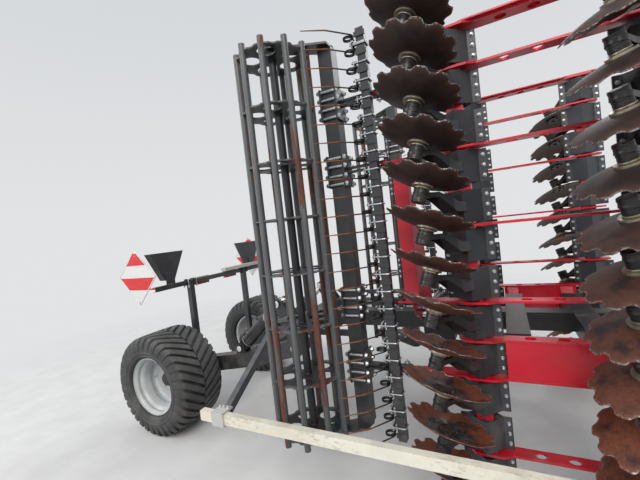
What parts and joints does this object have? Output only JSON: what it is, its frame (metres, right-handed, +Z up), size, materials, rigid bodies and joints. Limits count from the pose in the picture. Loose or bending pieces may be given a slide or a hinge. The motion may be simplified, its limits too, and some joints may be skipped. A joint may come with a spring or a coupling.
{
  "type": "trailed folding compact disc harrow",
  "caption": "Trailed compact disc harrow with two wings folded upright, notched discs on rubber sprung arms, tine harrow, cage rollers and rear transport wheels.",
  "frame": {"origin": "on the ground under the middle of the machine's length and width", "axes": "+X forward to the towing eye, +Y the machine's left, +Z up"},
  "size_m": [7.426, 3.164, 3.35],
  "materials": {
    "frame_black": "satin",
    "wing_red": "gloss",
    "clamp_grey": "satin",
    "disc_steel": "weathered",
    "rubber": "matte",
    "roller_steel": "worn",
    "tine_steel": "rusty",
    "rail_cream": "satin",
    "clamp_pale": "matte",
    "cylinder_black": "gloss",
    "rod_chrome": "polished",
    "rim_grey": "satin",
    "tyre": "matte",
    "zinc": "galvanised",
    "board": "satin",
    "lamp": "gloss"
  },
  "bodies": {
    "chassis": {"main_frame": "frame_black", "hinge_lugs": "frame_black", "drawbar": "frame_black", "towing_eye": "clamp_grey", "stand_sleeve": "frame_black"},
    "stand": {"stand_leg": "zinc"},
    "axle": {"axle_carrier": "frame_black", "light_bar": "frame_black", "marker_boards": "board", "lamps": "lamp", "light_board": "rim_grey"},
    "wing_right": {"gang_beam_front_right": "wing_red", "gang_beam_rear_right": "wing_red", "cheek_plates_right": "wing_red", "wing_hinge_right": "wing_red", "wing_tower_right": "wing_red", "disc_arms_front_right": "clamp_grey", "disc_arms_rear_right": "clamp_grey", "rubber_rods_right": "rubber", "discs_front_right": "disc_steel", "discs_rear_right": "disc_steel", "roller_beam_right": "frame_black", "roller_arms_right": "frame_black", "tine_bar_right": "frame_black", "tines_right": "tine_steel", "guard_rail_right": "rail_cream", "guard_struts_right": "clamp_pale"},
    "roller_right": {"roller_cage_right": "roller_steel"},
    "wheel_right": {"rim_right": "rim_grey", "tyre_right": "tyre"},
    "fold_barrel_right": {"fold_barrel_right": "cylinder_black"},
    "fold_rod_right": {"fold_rod_right": "rod_chrome"},
    "axle_barrel_right": {"axle_barrel_right": "cylinder_black"},
    "axle_rod_right": {"axle_rod_right": "rod_chrome"},
    "wing_left": {"gang_beam_front_left": "wing_red", "gang_beam_rear_left": "wing_red", "cheek_plates_left": "wing_red", "wing_hinge_left": "wing_red", "wing_tower_left": "wing_red", "disc_arms_front_left": "clamp_grey", "disc_arms_rear_left": "clamp_grey", "rubber_rods_left": "rubber", "discs_front_left": "disc_steel", "discs_rear_left": "disc_steel", "roller_beam_left": "frame_black", "roller_arms_left": "frame_black", "tine_bar_left": "frame_black", "tines_left": "tine_steel", "guard_rail_left": "rail_cream", "guard_struts_left": "clamp_pale"},
    "roller_left": {"roller_cage_left": "roller_steel"},
    "wheel_left": {"rim_left": "rim_grey", "tyre_left": "tyre"},
    "fold_barrel_left": {"fold_barrel_left": "cylinder_black"},
    "fold_rod_left": {"fold_rod_left": "rod_chrome"},
    "axle_barrel_left": {"axle_barrel_left": "cylinder_black"},
    "axle_rod_left": {"axle_rod_left": "rod_chrome"}
  },
  "joints": [
    {"name": "stand_lift", "type": "slide", "parent": "chassis", "child": "stand", "axis": [0, 0, 1], "range_m": [0, 0.3]},
    {"name": "axle_lift", "type": "hinge", "parent": "chassis", "child": "axle", "pos_m": [-1.68, 0, 0.85], "axis": [0, 1, 0], "range_deg": [0, 20]},
    {"name": "wing_right_fold", "type": "hinge", "parent": "chassis", "child": "wing_right", "pos_m": [0, -0.765, 0.92], "axis": [1, 0, 0], "range_deg": [0, 90]},
    {"name": "roller_right_spin", "type": "hinge", "parent": "wing_right", "child": "roller_right", "pos_m": [-1.19, -1.13, 1.885], "axis": [0, 0, 1], "continuous": true},
    {"name": "wheel_right_spin", "type": "hinge", "parent": "axle", "child": "wheel_right", "pos_m": [-3.18, -0.83, 0.533], "axis": [0, 1, 0], "continuous": true},
    {"name": "fold_right_pivot", "type": "hinge", "parent": "chassis", "child": "fold_barrel_right", "pos_m": [-0.395, 0.35, 1.182], "axis": [-1, 0, 0], "range_deg": [-6, 1]},
    {"name": "fold_right_stroke", "type": "slide", "parent": "fold_barrel_right", "child": "fold_rod_right", "axis": [0, -0.999, 0.0444], "range_m": [0, 0.57]},
    {"name": "axle_right_pivot", "type": "hinge", "parent": "axle", "child": "axle_barrel_right", "pos_m": [-2.4, -0.47, 0.8], "axis": [0, 1, 0], "range_deg": [-4, 0]},
    {"name": "axle_right_stroke", "type": "slide", "parent": "axle_barrel_right", "child": "axle_rod_right", "axis": [0.7555, 0, 0.6552], "range_m": [-0.16, 0]},
    {"name": "wing_left_fold", "type": "hinge", "parent": "chassis", "child": "wing_left", "pos_m": [0, 0.765, 0.92], "axis": [-1, 0, 0], "range_deg": [0, 90]},
    {"name": "roller_left_spin", "type": "hinge", "parent": "wing_left", "child": "roller_left", "pos_m": [-1.19, 1.13, 1.885], "axis": [0, 0, 1], "continuous": true},
    {"name": "wheel_left_spin", "type": "hinge", "parent": "axle", "child": "wheel_left", "pos_m": [-3.18, 0.83, 0.533], "axis": [0, 1, 0], "continuous": true},
    {"name": "fold_left_pivot", "type": "hinge", "parent": "chassis", "child": "fold_barrel_left", "pos_m": [-0.265, -0.35, 1.182], "axis": [1, 0, 0], "range_deg": [-6, 1]},
    {"name": "fold_left_stroke", "type": "slide", "parent": "fold_barrel_left", "child": "fold_rod_left", "axis": [0, 0.999, 0.0444], "range_m": [0, 0.57]},
    {"name": "axle_left_pivot", "type": "hinge", "parent": "axle", "child": "axle_barrel_left", "pos_m": [-2.4, 0.47, 0.8], "axis": [0, 1, 0], "range_deg": [-4, 0]},
    {"name": "axle_left_stroke", "type": "slide", "parent": "axle_barrel_left", "child": "axle_rod_left", "axis": [0.7555, 0, 0.6552], "range_m": [-0.16, 0]}
  ],
  "couplings": [
    {"joint": "fold_right_pivot", "follows": "wing_right_fold", "ratio": -0.029175},
    {"joint": "fold_right_stroke", "follows": "wing_right_fold", "m_per_rad": 0.35597},
    {"joint": "axle_right_pivot", "follows": "axle_lift", "ratio": -0.15728},
    {"joint": "axle_right_stroke", "follows": "axle_lift", "m_per_rad": -0.45223},
    {"joint": "fold_left_pivot", "follows": "wing_left_fold", "ratio": -0.029175},
    {"joint": "fold_left_stroke", "follows": "wing_left_fold", "m_per_rad": 0.35597},
    {"joint": "axle_left_pivot", "follows": "axle_lift", "ratio": -0.15728},
    {"joint": "axle_left_stroke", "follows": "axle_lift", "m_per_rad": -0.45223}
  ]
}
